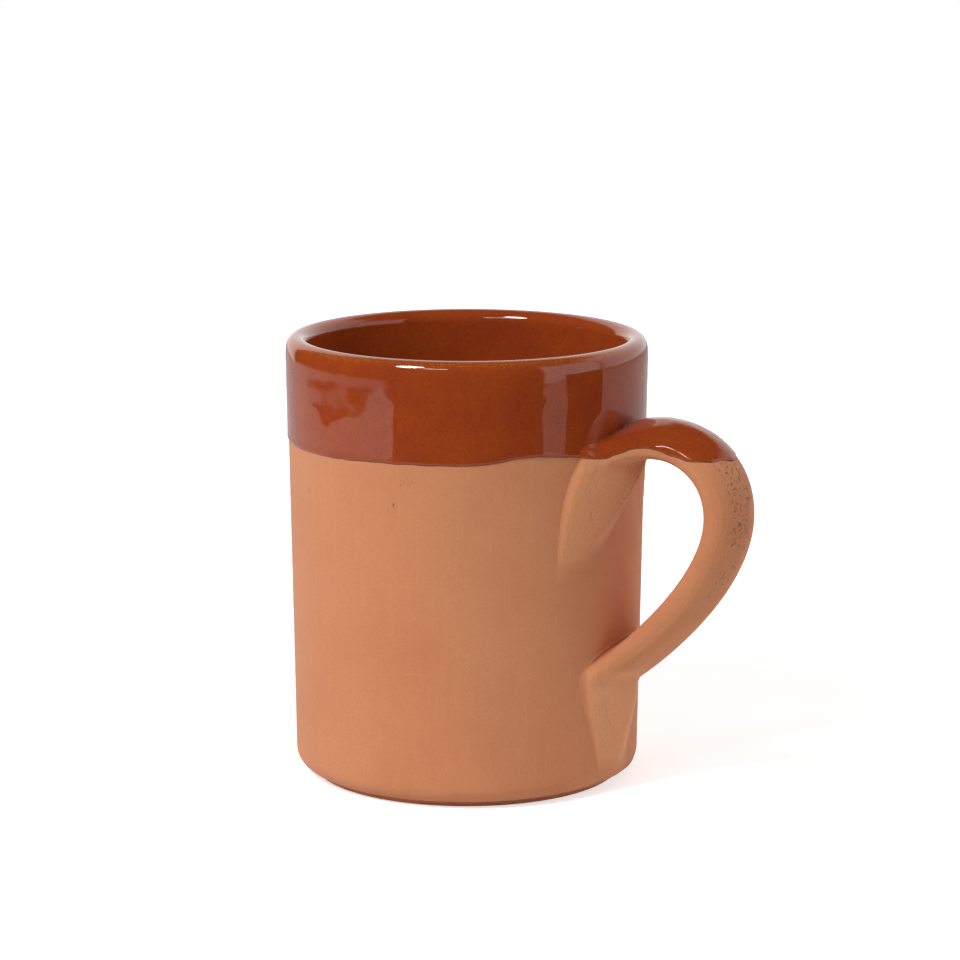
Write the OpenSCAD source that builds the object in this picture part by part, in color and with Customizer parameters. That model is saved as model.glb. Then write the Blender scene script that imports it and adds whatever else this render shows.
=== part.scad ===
// Jarrito clay mug: a thrown red clay cup with a pulled strap handle,
// joined with slip and smeared wads of clay, glazed inside and over the lip.
// The cup axis is Z, the mug stands on Z = 0 and the handle points along +X.

/* [Cup] */
// Outer diameter of the clay at the rim
rim_d = 79.4; // [72:0.2:92]
// Outer diameter of the clay above the bottom corner
base_d = 76.6; // [70:0.2:90]
// Height of the clay cup
cup_h = 97.7; // [90:0.1:115]
// Thickness of the thrown wall
wall_t = 4.6; // [3.6:0.1:6]
// Thickness of the floor
floor_t = 6.5; // [4.5:0.1:9]
// Radius of the outer bottom corner
corner_r = 4.2; // [2:0.1:6]
// Radius between the inner wall and the floor
inner_corner_r = 9; // [5:0.5:14]
// Diameter of the thin foot that the cup stands on
foot_d = 68; // [60:0.5:70]
// Height of the foot
foot_h = 1.2; // [0.8:0.1:2.5]
// Bevel at the lower edge of the foot
foot_bevel = 0.4; // [0.2:0.1:0.6]

/* [Handle] */
// Width of the strap where the fingers hold it
strap_w = 15.6; // [13:0.2:20]
// Width of the strap where it spreads on the wall
root_w = 32; // [24:0.5:36]
// Rise of the domed outer side over the middle line
crown_t = 5.2; // [4:0.1:7]
// Depth of the flat inner side under the middle line
flat_t = 3.4; // [2.5:0.1:4.5]
// Distance from the cup axis to the middle line at its furthest
handle_reach = 62.5; // [58:0.5:72]
// Depth of the upper root under the rim
upper_root_depth = 22.7; // [20:0.1:30]
// Height of the lower root
lower_root_z = 27; // [24:0.5:32]
// Distance over which the roots spread
flare_len = 16; // [10:0.5:20]

/* [Joints] */
// Thickness of the slip between the handle and the wall
slip_t = 0.5; // [0.3:0.1:0.8]
// Thickness of the fillet of clay in the corner under the upper root
fillet_t = 6; // [5:0.5:8]
// Thickness of the two wings that are smeared down from it
wing_t = 2.4; // [1.4:0.2:3]
// Length of the wings down the wall
wing_len = 24; // [16:0.5:28]
// Thickness of the tail of clay under the lower root
tail_t = 4.6; // [3:0.2:6]
// Length of the tail down the wall
tail_len = 22; // [14:0.5:22]

/* [Glaze] */
// Thickness of the fired glaze
glaze_t = 0.3; // [0.2:0.05:0.5]
// Depth that the rim was dipped in the glaze
dip_depth = 22.5; // [16:0.1:30]
// Rise of that edge beside the upper root
dip_rise = 2.4; // [0:0.1:4]
// Waviness of that edge round the cup
dip_wave = 0.35; // [0:0.05:0.8]

/* [Hidden] */

$fn = 120;
overrun = 1;

// Sizes of the cup that follow from the ones above
rim_r = rim_d / 2;
base_r = base_d / 2;
foot_r = foot_d / 2;
lip_r = wall_t / 2;
wall_low_z = foot_h + corner_r;
wall_high_z = cup_h - lip_r;
lip_centre_r = rim_r - lip_r;
arc_steps = 8;

// Shape of the strap. The height of its furthest place and the pulls, which are
// the lengths of the curve's handles, are shares of the distance between the roots.
upper_root_z = cup_h - upper_root_depth;
root_gap = upper_root_z - lower_root_z;
apex_share = 0.75;
upper_leave_angle = 31;
lower_leave_angle = 39;
upper_pull_share = 0.275;
lower_apex_pull_share = 0.23;
lower_leave_pull_share = 0.375;
upper_root_sink = 2.4;
lower_root_sink = 1.6;
flare_sink = 2;
strap_tuck = 7;
path_steps = 18;
section_steps = 32;
side_round_share = 0.8;
root_full_share = 0.9;
gain_full_share = 0.22;
crown_round_share = 0.95;
flat_round_share = 0.6;

// Shape of the smears, as shares of the roots' half angles round the cup axis
fillet_centre_share = -0.25;
fillet_spread_share = 0.83;
far_wing_share = 0.3;
wing_top_share = 0.54;
wing_tip_share = 1.25;
wing_top_spread_share = 0.46;
wing_tip_spread_share = 0.21;
wing_top_z = upper_root_z + slip_t;
tail_centre_share = -0.25;
tail_top_spread_share = 0.86;
tail_tip_spread_share = 0.45;
tail_top_z = lower_root_z + slip_t;
smear_back = 1.5;
smear_edge = 0.2;
smear_sink = 0.4;
smear_margin = 2;
smear_rows = 10;
smear_columns = 26;

// Shape of the dipped edge
dip_z = cup_h - dip_depth;
dip_rise_angle = -40;
dip_rise_spread = 17;
dip_steps = 72;
dip_near_x = 47;
dip_fade_len = 6;
dip_zone_steps = 12;

function arc(centre, r, from, to) =
    [for (i = [0 : arc_steps]) let (a = from + (to - from) * i / arc_steps)
        centre + r * [cos(a), sin(a)]];

// Outer radius of the straight wall at a height
function wall_r(z) =
    base_r + (rim_r - base_r) * (z - wall_low_z) / (wall_high_z - wall_low_z);

// Outline of the inside, from the lip's crest down to the floor's middle.
// A coat moves it in by its thickness.
function inside_line(coat) =
    let (
        low_r = wall_r(floor_t + inner_corner_r) - wall_t,
        corner = [low_r - inner_corner_r, floor_t + inner_corner_r]
    )
    concat(
        arc([lip_centre_r, wall_high_z], lip_r + coat, 90, 180),
        arc(corner, inner_corner_r - coat, 0, -90),
        [[0, floor_t + coat]]
    );

// Outline of the lip's outer half and the wall under it, down to a height.
function outside_line(coat, low_z) =
    concat(
        [[wall_r(low_z) + coat, low_z]],
        arc([lip_centre_r, wall_high_z], lip_r + coat, 0, 90)
    );

// Solid cone that follows the outer wall, moved out by a thickness
module wall_cone(grow) {
    translate([0, 0, wall_low_z])
        cylinder(h = wall_high_z - wall_low_z, r1 = base_r + grow, r2 = rim_r + grow);
}

function bezier(p, t) =
    pow(1 - t, 3) * p[0] + 3 * pow(1 - t, 2) * t * p[1]
    + 3 * (1 - t) * t * t * p[2] + pow(t, 3) * p[3];

function bezier_dir(p, t) =
    let (d = pow(1 - t, 2) * (p[1] - p[0]) + 2 * (1 - t) * t * (p[2] - p[1])
        + t * t * (p[3] - p[2]))
    d / norm(d);

function polar(r, a) = r * [cos(a), sin(a)];

upper_root = [wall_r(upper_root_z) - upper_root_sink, upper_root_z];
lower_root = [wall_r(lower_root_z) - lower_root_sink, lower_root_z];
apex = [handle_reach, lower_root_z + apex_share * root_gap];
upper_pull = upper_pull_share * root_gap;
lower_apex_pull = lower_apex_pull_share * root_gap;
lower_leave_pull = lower_leave_pull_share * root_gap;
upper_curve = [upper_root, upper_root + polar(upper_pull, upper_leave_angle),
    apex + [0, upper_pull], apex];
lower_curve = [apex, apex - [0, lower_apex_pull],
    lower_root + polar(lower_leave_pull, lower_leave_angle), lower_root];

// The strap grows fuller on its way down and is pressed thinner at its end
function fullness(t) = root_full_share + gain_full_share * (t - pow(t, 6));

// Stations along the strap: a place, a direction and a fullness each, in XZ.
// The first and the last lie inside the wall, so that the wide roots reach it.
upper_start = bezier_dir(upper_curve, 0);
lower_end = bezier_dir(lower_curve, 1);
upper_stations = concat(
    [[upper_root - strap_tuck * upper_start, upper_start, root_full_share]],
    [for (i = [0 : path_steps]) let (t = i / path_steps)
        [bezier(upper_curve, t), bezier_dir(upper_curve, t), fullness(t / 2)]]
);
lower_stations = concat(
    [for (i = [1 : path_steps]) let (t = i / path_steps)
        [bezier(lower_curve, t), bezier_dir(lower_curve, t), fullness((1 + t) / 2)]],
    [[lower_root + strap_tuck * lower_end, lower_end, root_full_share]]
);

// Width of the strap, by its distance from the wall
function spread_at(place) =
    let (
        gap = place[0] - wall_r(place[1]) + flare_sink,
        share = min(1, max(0, 1 - gap / flare_len))
    )
    strap_w + (root_w - strap_w) * share * share;

function rounded(value, share) = sign(value) * pow(abs(value), share);

// One ring of the strap: flat towards the cup, domed away from it
function strap_ring(station, grow) =
    let (
        place = station[0],
        out = [-station[1][1], station[1][0]],
        half_w = spread_at(place) / 2 + grow
    )
    [for (i = [0 : section_steps - 1])
        let (
            a = 360 * i / section_steps,
            across = half_w * rounded(cos(a), side_round_share),
            rise = sin(a) > 0
                ? (crown_t * station[2] + grow) * rounded(sin(a), crown_round_share)
                : (flat_t * station[2] + grow) * rounded(sin(a), flat_round_share)
        )
        [place[0] + out[0] * rise, across, place[1] + out[1] * rise]];

function flip(points) = [for (i = [len(points) - 1 : -1 : 0]) points[i]];

// Triangles between one ring of n points and the next, which starts at b
function band_faces(a, b, n) =
    [for (i = [0 : n - 1]) let (j = (i + 1) % n)
        each [[a + i, b + i, a + j], [a + j, b + i, b + j]]];

// A flat end over a ring whose two halves face each other, as a ladder
function cap_faces(a, n) =
    [for (i = [0 : n / 2 - 2]) [a + i, a + i + 1, a + n - 2 - i, a + n - 1 - i]];

// Skin between rings of equal length, closed at both ends
module loft(rings) {
    n = len(rings[0]);
    last = (len(rings) - 1) * n;
    polyhedron(
        points = [for (ring = rings) each ring],
        faces = concat(
            [for (k = [0 : len(rings) - 2]) each band_faces(k * n, (k + 1) * n, n)],
            cap_faces(0, n),
            [for (face = cap_faces(last, n)) flip(face)]
        ),
        convexity = 6
    );
}

// Skin between an outer and an inner set of rings, open along its middle
module sleeve(outer_rings, inner_rings) {
    n = len(outer_rings[0]);
    count = len(outer_rings);
    inner = count * n;
    last = (count - 1) * n;
    polyhedron(
        points = [for (ring = concat(outer_rings, inner_rings)) each ring],
        faces = concat(
            [for (k = [0 : count - 2]) each band_faces(k * n, (k + 1) * n, n)],
            [for (k = [0 : count - 2]) each band_faces(inner + (k + 1) * n, inner + k * n, n)],
            band_faces(inner, 0, n),
            band_faces(last, inner + last, n)
        ),
        convexity = 6
    );
}

// The whole strap, or the stretch of it that some stations give
module strap(stations = concat(upper_stations, lower_stations)) {
    loft([for (station = stations) strap_ring(station, 0)]);
}

// Clay smeared on the wall: a patch from low_z to high_z that is cut by the
// wall and by the strap. Its share goes from 0 at the foot to 1 at the top, and
// two functions of it give half its angle round the cup and its thickness.
// Where that is less than nothing the patch lies under the wall's surface.
module smear(low_z, high_z, middle_angle, stations, half_angle, thickness) {
    rings = [for (k = [0 : smear_rows])
        let (
            share = k / smear_rows,
            z = low_z + (high_z - low_z) * share,
            half = half_angle(share),
            angles = [for (i = [0 : smear_columns])
                middle_angle + half * (2 * i / smear_columns - 1)]
        )
        concat(
            [for (a = angles)
                let (r = wall_r(z) + max(thickness(a, share), -smear_sink))
                [r * cos(a), r * sin(a), z]],
            [for (a = flip(angles))
                let (r = wall_r(z) - smear_back)
                [r * cos(a), r * sin(a), z]]
        )];
    difference() {
        loft(rings);
        wall_cone(0);
        strap(stations);
    }
}

// Height of the glaze's edge on the cup, by the angle round its axis
function dip_edge(a) =
    dip_z + dip_rise * exp(-pow((a - dip_rise_angle) / dip_rise_spread, 2))
    + dip_wave * sin(3 * a) + dip_wave / 2 * cos(5 * a);

// Height of the glaze's edge on the handle, by the distance from the axis
function handle_dip_edge(x) =
    dip_z + dip_rise * exp(-pow((x - dip_near_x) / dip_fade_len, 2));

// Everything that the cup held upside down in the glaze
module dipped_zone() {
    inner = lip_centre_r - overrun;
    outer = rim_r + glaze_t + overrun;
    top = cup_h + glaze_t + overrun;
    rings = [for (i = [0 : dip_steps - 1])
        let (a = 360 * i / dip_steps, z = dip_edge(a > 180 ? a - 360 : a))
        [for (corner = [[inner, z], [inner, top], [outer, top], [outer, z]])
            [corner[0] * cos(a), corner[0] * sin(a), corner[1]]]];
    n = len(rings[0]);
    faces = [for (k = [0 : dip_steps - 1]) each band_faces(k * n, ((k + 1) % dip_steps) * n, n)];
    polyhedron(points = [for (ring = rings) each ring], faces = faces, convexity = 6);
}

module handle_dipped_zone() {
    from = upper_root[0] - strap_tuck;
    to = handle_reach + crown_t + glaze_t + overrun;
    top = cup_h;
    edge = [for (i = [0 : dip_zone_steps])
        let (x = from + (to - from) * i / dip_zone_steps)
        [x, handle_dip_edge(x)]];
    rotate([90, 0, 0])
        linear_extrude(height = root_w + 2 * overrun, center = true)
            polygon(concat(edge, [[to, top], [from, top]]));
}

module cup_body() {
    color("#c07a4e")
        rotate_extrude()
            polygon(concat(
                [[0, 0], [foot_r - foot_bevel, 0], [foot_r, foot_bevel], [foot_r, foot_h]],
                arc([base_r - corner_r, wall_low_z], corner_r, -90, 0),
                outside_line(0, wall_high_z),
                inside_line(0)
            ));
}

module handle() {
    color("#b8734a")
        difference() {
            strap();
            wall_cone(slip_t);
        }
}

module slip_layer(stations) {
    color("#a8623d")
        intersection() {
            difference() {
                wall_cone(slip_t);
                wall_cone(0);
            }
            strap(stations);
        }
}

module upper_slip() {
    slip_layer(upper_stations);
}

module lower_slip() {
    slip_layer(lower_stations);
}

// Angle round the cup axis from the middle of a root to its edge
upper_half_angle = asin(root_w / 2 / wall_r(upper_root_z));
lower_half_angle = asin(root_w / 2 / wall_r(lower_root_z));

// Two wings of clay, pressed down and outwards from the strap's edges
function wing_centre(share) =
    upper_half_angle * (wing_tip_share + (wing_top_share - wing_tip_share) * share);

function wing_spread(share) =
    upper_half_angle
    * (wing_tip_spread_share + (wing_top_spread_share - wing_tip_spread_share) * share);

// The far wing is pressed more lightly, and a fillet fills the corner above
function wing_thickness(a, share) =
    let (
        off = (abs(a) - wing_centre(share)) / wing_spread(share),
        side = a > 0 ? far_wing_share : 1,
        fillet_off = (a / upper_half_angle - fillet_centre_share) / fillet_spread_share
    )
    fillet_t * pow(share, 5) * (1 - fillet_off * fillet_off)
    + (wing_t * side * share + smear_edge) * (1 - off * off);

module upper_clay_wad() {
    color("#b56f46")
        smear(wing_top_z - wing_len, wing_top_z, 0, upper_stations,
            function(share) wing_centre(share) + wing_spread(share) + smear_margin,
            function(a, share) wing_thickness(a, share));
}

// One tail, pressed down from the strap's end and steep at its sides
tail_centre_angle = lower_half_angle * tail_centre_share;

function tail_spread(share) =
    lower_half_angle
    * (tail_tip_spread_share + (tail_top_spread_share - tail_tip_spread_share) * share);

function tail_thickness(a, share) =
    (tail_t * share + smear_edge) * (1 - pow((a - tail_centre_angle) / tail_spread(share), 4));

module lower_clay_wad() {
    color("#b56f46")
        smear(tail_top_z - tail_len, tail_top_z, tail_centre_angle, lower_stations,
            function(share) tail_spread(share) + smear_margin,
            function(a, share) tail_thickness(a, share));
}

module lining_glaze() {
    color("#7c3214")
        rotate_extrude()
            polygon(concat(inside_line(0), flip(inside_line(glaze_t))));
}

module band_glaze() {
    low_z = dip_z - dip_rise - overrun;
    color("#8a3a18")
        difference() {
            intersection() {
                rotate_extrude()
                    polygon(concat(outside_line(0, low_z), flip(outside_line(glaze_t, low_z))));
                dipped_zone();
            }
            strap(upper_stations);
        }
}

module handle_glaze() {
    color("#8a3a18")
        intersection() {
            difference() {
                sleeve(
                    [for (station = upper_stations) strap_ring(station, glaze_t)],
                    [for (station = upper_stations) strap_ring(station, 0)]
                );
                wall_cone(glaze_t);
            }
            handle_dipped_zone();
        }
}

cup_body();
handle();
upper_slip();
lower_slip();
upper_clay_wad();
lower_clay_wad();
lining_glaze();
band_glaze();
handle_glaze();
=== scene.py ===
# %% [markdown]
# # A clay mug with a pulled handle
# The mug is a thrown cup of red clay. A strap handle is joined to it with slip and
# smeared clay, and the rim was dipped in a brown glaze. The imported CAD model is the
# frame: every piece below sits on the same cone, curves and heights, only finer.

# %% Load the frame
import math

import bpy
import numpy as np
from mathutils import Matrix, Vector
from mathutils.bvhtree import BVHTree


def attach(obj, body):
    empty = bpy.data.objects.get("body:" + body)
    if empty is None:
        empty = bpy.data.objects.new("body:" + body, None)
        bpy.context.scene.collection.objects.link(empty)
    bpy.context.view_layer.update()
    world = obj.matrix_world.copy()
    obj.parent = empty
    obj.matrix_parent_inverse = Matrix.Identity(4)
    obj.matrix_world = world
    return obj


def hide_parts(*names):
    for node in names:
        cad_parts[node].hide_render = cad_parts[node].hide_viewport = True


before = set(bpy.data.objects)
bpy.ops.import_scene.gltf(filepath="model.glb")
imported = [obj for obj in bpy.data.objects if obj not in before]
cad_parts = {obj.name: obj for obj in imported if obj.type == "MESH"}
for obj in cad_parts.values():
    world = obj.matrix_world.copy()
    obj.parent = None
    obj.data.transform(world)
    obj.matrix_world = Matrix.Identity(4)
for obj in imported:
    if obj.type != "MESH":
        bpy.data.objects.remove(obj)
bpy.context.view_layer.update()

print("nodes:", sorted(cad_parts))

# %% [markdown]
# ## The mug's own measures
# They are the CAD source's sizes in millimetres. Blender works in metres, so points are
# only scaled when they are written into a mesh.

# %% Sizes of the mug, in millimetres
MM = 0.001
CUP_H, RIM_R, BASE_R = 97.7, 39.7, 38.3
WALL_T, FLOOR_T = 4.6, 6.5
CORNER_R, INNER_CORNER_R = 4.2, 9.0
FOOT_R, FOOT_H, FOOT_BEVEL = 34.0, 1.2, 0.4
GLAZE_T = 0.3
LIP_R = WALL_T / 2
WALL_LOW_Z = FOOT_H + CORNER_R
WALL_HIGH_Z = CUP_H - LIP_R
LIP_CENTRE_R = RIM_R - LIP_R
UPPER_ROOT_Z, LOWER_ROOT_Z = 75.0, 27.0
HANDLE_REACH, APEX_Z = 62.5, 63.0
SKIN = 0.04
WAVES, WAVE_SPREAD, WAVE_GAIN = 9, (0.6, 1.5), 1.8


def wall_r(z):
    """Outer radius of the straight wall at a height."""
    return BASE_R + (RIM_R - BASE_R) * (z - WALL_LOW_Z) / (WALL_HIGH_Z - WALL_LOW_Z)


def smooth(low, high, value):
    """0 below low, 1 above high and a soft step between."""
    share = np.clip((np.asarray(value, float) - low) / (high - low), 0, 1)
    return share * share * (3 - 2 * share)


def wobble(points, size, seed, stretch=(1, 1, 1)):
    """A soft random field over points, about -1 to 1, with lumps of one size."""
    chance = np.random.default_rng(seed)
    total = np.zeros(len(points))
    for _ in range(WAVES):
        way = chance.normal(size=3)
        way = way / np.linalg.norm(way) * math.tau / size * chance.uniform(*WAVE_SPREAD)
        total += np.sin(points @ (way / np.array(stretch)) + chance.uniform(0, math.tau))
    return total / WAVES * WAVE_GAIN


# %% [markdown]
# ## Hands for the work
# A few helpers stand for what hands do in the viewport: let go of everything, go into
# edit mode, pick faces by a rule, press every point of a mesh to a new place, and
# apply a modifier. Everything after this is primitives, operators and these.

# %% Helpers
def let_go():
    if bpy.context.object and bpy.context.object.mode != "OBJECT":
        bpy.ops.object.mode_set(mode="OBJECT")
    bpy.ops.object.select_all(action="DESELECT")


def take(piece):
    let_go()
    piece.select_set(True)
    bpy.context.view_layer.objects.active = piece


def edit(piece):
    take(piece)
    bpy.ops.object.mode_set(mode="EDIT")
    bpy.ops.mesh.select_mode(type="VERT")
    bpy.ops.mesh.select_all(action="SELECT")


def done(name):
    """Leave edit mode, and give the active object its name."""
    bpy.ops.object.mode_set(mode="OBJECT")
    piece = bpy.context.object
    piece.name = piece.data.name = name
    return piece


def points_of(piece):
    """Every vertex of a piece, in millimetres."""
    flat = np.empty(len(piece.data.vertices) * 3)
    piece.data.vertices.foreach_get("co", flat)
    return flat.reshape(-1, 3) / MM


def place_points(piece, points):
    piece.data.vertices.foreach_set("co", (np.asarray(points) * MM).ravel())
    piece.data.update()


def normals_of(piece):
    flat = np.empty(len(piece.data.vertices) * 3, np.float32)
    piece.data.vertex_normals.foreach_get("vector", flat)
    return flat.reshape(-1, 3).astype(float)


def close_up(piece, gap=MM / 1000):
    """Merge doubled points and turn every face outwards."""
    edit(piece)
    bpy.ops.mesh.remove_doubles(threshold=gap)
    bpy.ops.mesh.select_all(action="SELECT")
    bpy.ops.mesh.normals_make_consistent(inside=False)
    bpy.ops.object.mode_set(mode="OBJECT")
    return piece


def modify(piece, kind, **settings):
    """Add a modifier, set it and apply it."""
    take(piece)
    modifier = piece.modifiers.new(kind.title(), kind)
    for key, value in settings.items():
        setattr(modifier, key, value)
    bpy.ops.object.modifier_apply(modifier=modifier.name)


def round_off(piece, angle=60):
    take(piece)
    bpy.ops.object.shade_smooth_by_angle(angle=math.radians(angle))


def tell(piece):
    low, high = points_of(piece).min(0).round(2), points_of(piece).max(0).round(2)
    print(piece.name, len(piece.data.polygons), "faces, from", low, "to", high)


# %% [markdown]
# ## Spinning on the wheel
# A thrown cup is a turned form. It could be a cylinder that is inset and bevelled, but
# then the lip would be several separate bevels. Here one point is extruded along the
# cup's section and the section is spun about the axis, which is what the wheel does.

# %% The wheel
def arc(centre, radius, start, end, steps):
    turns = np.radians(np.linspace(start, end, steps))
    return [(centre[0] + radius * math.cos(t), centre[1] + radius * math.sin(t)) for t in turns]


def walk(corners, step):
    """Points along straight lines between corners, about a step apart."""
    line = [corners[0]]
    for a, b in zip(corners, corners[1:]):
        count = max(1, round(math.dist(a, b) / step))
        line += [tuple(np.array(a) + (np.array(b) - np.array(a)) * i / count)
                 for i in range(1, count + 1)]
    return line


def spun(name, outline, steps):
    """A turned piece: the outline (radius, height) is drawn and spun about Z."""
    let_go()
    bpy.ops.mesh.primitive_plane_add(size=MM)
    edit(bpy.context.object)
    bpy.ops.mesh.merge(type="CENTER")
    here = Vector((0, 0, 0))
    for radius, height in outline:
        there = Vector((radius * MM, 0, height * MM))
        bpy.ops.mesh.extrude_region_move(TRANSFORM_OT_translate={"value": there - here})
        here = there
    bpy.ops.object.mode_set(mode="OBJECT")
    for vertex in bpy.context.object.data.vertices:
        vertex.select = vertex.index == 0
    bpy.ops.object.mode_set(mode="EDIT")
    bpy.ops.mesh.delete(type="VERT")
    bpy.ops.mesh.select_all(action="SELECT")
    bpy.ops.mesh.spin(steps=steps, angle=math.tau, center=(0, 0, 0), axis=(0, 0, 1))
    return close_up(done(name))


# %% [markdown]
# ## The cup
# The wall is a slightly open cone on a thin foot, with a full round lip. Hands leave it
# a little uneven, so the wall is pressed in by a few hundredths of a millimetre in
# shallow rings and broad soft dents, never outwards past the CAD wall.

# %% Throw the cup
UNDER_COAT = 0.2
STRAIGHT_FROM, STRAIGHT_TO = 7, 90
FOOT_EASE = 0.15
CUP_TURNS, COAT_TURNS = 256, 400
inner_low_r = wall_r(FLOOR_T + INNER_CORNER_R) - WALL_T
inner_corner = (inner_low_r - INNER_CORNER_R, FLOOR_T + INNER_CORNER_R)
cup_outline = walk([(0, 0), (FOOT_R - FOOT_BEVEL, 0)], 4)
cup_outline += arc((FOOT_R - FOOT_BEVEL, FOOT_BEVEL), FOOT_BEVEL, -70, 0, 4)
cup_outline += [(FOOT_R, FOOT_H - 0.1), (FOOT_R + FOOT_EASE, FOOT_H)]
cup_outline += arc((BASE_R - CORNER_R, WALL_LOW_Z), CORNER_R, -84, 0, 14)
cup_outline += walk([(wall_r(z), z) for z in (STRAIGHT_FROM, STRAIGHT_TO)], 1.0)
cup_outline += arc((LIP_CENTRE_R, WALL_HIGH_Z), LIP_R - UNDER_COAT, 0, 180, 20)
cup_outline += walk([(LIP_CENTRE_R - LIP_R, WALL_HIGH_Z - 2), (inner_low_r, 18)], 4)
cup_outline += arc(inner_corner, INNER_CORNER_R, 0, -90, 10)
cup_outline += walk([(inner_corner[0] - 2, FLOOR_T), (0, FLOOR_T)], 6)
cup = spun("cup", cup_outline, CUP_TURNS)


# %% [markdown]
# The dents and rings are shallow, so they are formulas of place. The same formulas
# press the coats and the smeared clay, which therefore follow the wall everywhere.

# %% Press the wall by hand
DENT_DEPTH, DENT_SIZE = 0.07, 55
RING_DEPTH, RING_PITCH = 0.012, 3.1


def dents(points):
    """Broad soft unevenness, inwards, by place."""
    return DENT_DEPTH * (1 + np.clip(wobble(points, DENT_SIZE, 3), -1, 1))


def press_wall(points):
    """Inward unevenness of the thrown wall: dents, and the faint rings of throwing."""
    turn = points[:, 2] * math.tau / RING_PITCH + np.arctan2(points[:, 1], points[:, 0])
    return dents(points) + RING_DEPTH * (1 + np.sin(turn))


def pressed_in(points, amount):
    radius = np.hypot(points[:, 0], points[:, 1])
    share = np.where(radius > 1, (radius - amount) / np.maximum(radius, 1), 1)
    return np.column_stack([points[:, 0] * share, points[:, 1] * share, points[:, 2]])


cup_points = points_of(cup)
outside = smooth(36.5, 37.6, np.hypot(cup_points[:, 0], cup_points[:, 1]))
upright = smooth(1.3, 6, cup_points[:, 2]) * (1 - smooth(92, 95, cup_points[:, 2]))
place_points(cup, pressed_in(cup_points, press_wall(cup_points) * outside * upright))
round_off(cup)
tell(cup)

# %% [markdown]
# ## The strap
# A handle is pulled from a lump of clay into a strap: flat towards the fingers, domed
# away from them, wide where it is pressed on the wall. It could be a bevelled curve,
# but its width and thickness change along the way. So a flat grid is rolled up round
# the path: one side of the grid runs along the strap, the other round its section.

# %% The strap's path
UPPER_SINK, UPPER_PULL, UPPER_ANGLE = 2.4, 0.275, 31
LOWER_SINK, LOWER_PULL, LOWER_ANGLE = 1.6, 0.375, 39
APEX_PULL = 0.23
FULL_START, FULL_GAIN = 0.9, 0.22
TUCK = 6.0


def bezier(p, t):
    p = np.array(p)[:, None, :]
    t = np.asarray(t)[:, None]
    back = 1 - t
    return back ** 3 * p[0] + 3 * back ** 2 * t * p[1] + 3 * back * t * t * p[2] + t ** 3 * p[3]


def polar(length, angle):
    return np.array([math.cos(math.radians(angle)), math.sin(math.radians(angle))]) * length


root_gap = UPPER_ROOT_Z - LOWER_ROOT_Z
upper_root = np.array([wall_r(UPPER_ROOT_Z) - UPPER_SINK, UPPER_ROOT_Z])
lower_root = np.array([wall_r(LOWER_ROOT_Z) - LOWER_SINK, LOWER_ROOT_Z])
apex = np.array([HANDLE_REACH, APEX_Z])
upper_curve = [upper_root, upper_root + polar(UPPER_PULL * root_gap, UPPER_ANGLE),
               apex + (0, UPPER_PULL * root_gap), apex]
lower_curve = [apex, apex - (0, APEX_PULL * root_gap),
               lower_root + polar(LOWER_PULL * root_gap, LOWER_ANGLE), lower_root]
share_up = np.linspace(0, 1, 400)
path = np.vstack([bezier(upper_curve, share_up), bezier(lower_curve, share_up)[1:]])
path_share = np.concatenate([share_up / 2, 0.5 + share_up[1:] / 2])
path_step = np.linalg.norm(np.diff(path, axis=0), axis=1)
path_length = np.concatenate([[0], np.cumsum(path_step)])
path_way = np.gradient(path, path_length, axis=0)
path_way /= np.linalg.norm(path_way, axis=1)[:, None]
STRAP_LENGTH = path_length[-1]
print("strap length", round(STRAP_LENGTH, 1), "mm")


def strap_centre(along):
    """Place, direction and fullness of the strap at a length along its path."""
    inside = np.clip(along, 0, STRAP_LENGTH)
    beyond = (along - inside)[:, None]
    way = np.column_stack([np.interp(inside, path_length, path_way[:, i]) for i in range(2)])
    place = np.column_stack([np.interp(inside, path_length, path[:, i]) for i in range(2)])
    share = np.interp(inside, path_length, path_share)
    return place + beyond * way, way, FULL_START + FULL_GAIN * (share - share ** 6)


# %% [markdown]
# The section is a soft rectangle: powers of sine and cosine make its flat side flat and
# its other side domed. The maker's thumb flattened the dome's near half, so there it is
# widest low down, by the fingers, and slopes from a soft edge up to the crown. The
# points are spread evenly along the section's own outline.

# %% The strap's section
STRAP_W, ROOT_W, FLARE_LEN, FLARE_SINK = 15.6, 32.0, 16.0, 2.0
CROWN_T, FLAT_T, LOWER_NARROWER = 5.2, 3.4, 1.6
SIDE_POWER, DOME_POWER, FLAT_POWER = 0.8, 0.95, 0.6
NEAR_DROP, NEAR_SLOPE, NEAR_CURVE, NEAR_EDGE = 0.9, 0.5, 1.3, 7
STRAP_ROWS, STRAP_ROUND = 260, 120
ROOT_DEPTH = 3.2


def section_point(turn):
    """Across (-1 to 1) and rise (millimetres) of the section at a turn in radians."""
    side, up = np.cos(turn), np.sin(turn)
    across = np.sign(side) * np.abs(side) ** SIDE_POWER
    domed = np.abs(up) ** DOME_POWER
    slope = 1 - NEAR_SLOPE * np.abs(across) ** NEAR_CURVE
    pressed = slope * np.sqrt(1 - np.abs(across) ** NEAR_EDGE)
    drop = np.where(side < 0, NEAR_DROP, 0)
    over = (CROWN_T + drop) * np.where(side < 0, pressed, domed)
    under = (drop - FLAT_T) * np.abs(up) ** FLAT_POWER
    return across, np.where(up > 0, over, under) - drop


dense_turn = np.linspace(0, math.tau, 4001)
dense_across, dense_rise = section_point(dense_turn)
dense_length = np.concatenate([[0], np.cumsum(np.hypot(
    np.diff(dense_across) * STRAP_W / 2, np.diff(dense_rise)))])


def even_turn(share):
    return np.interp(share * dense_length[-1], dense_length, dense_turn)


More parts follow.
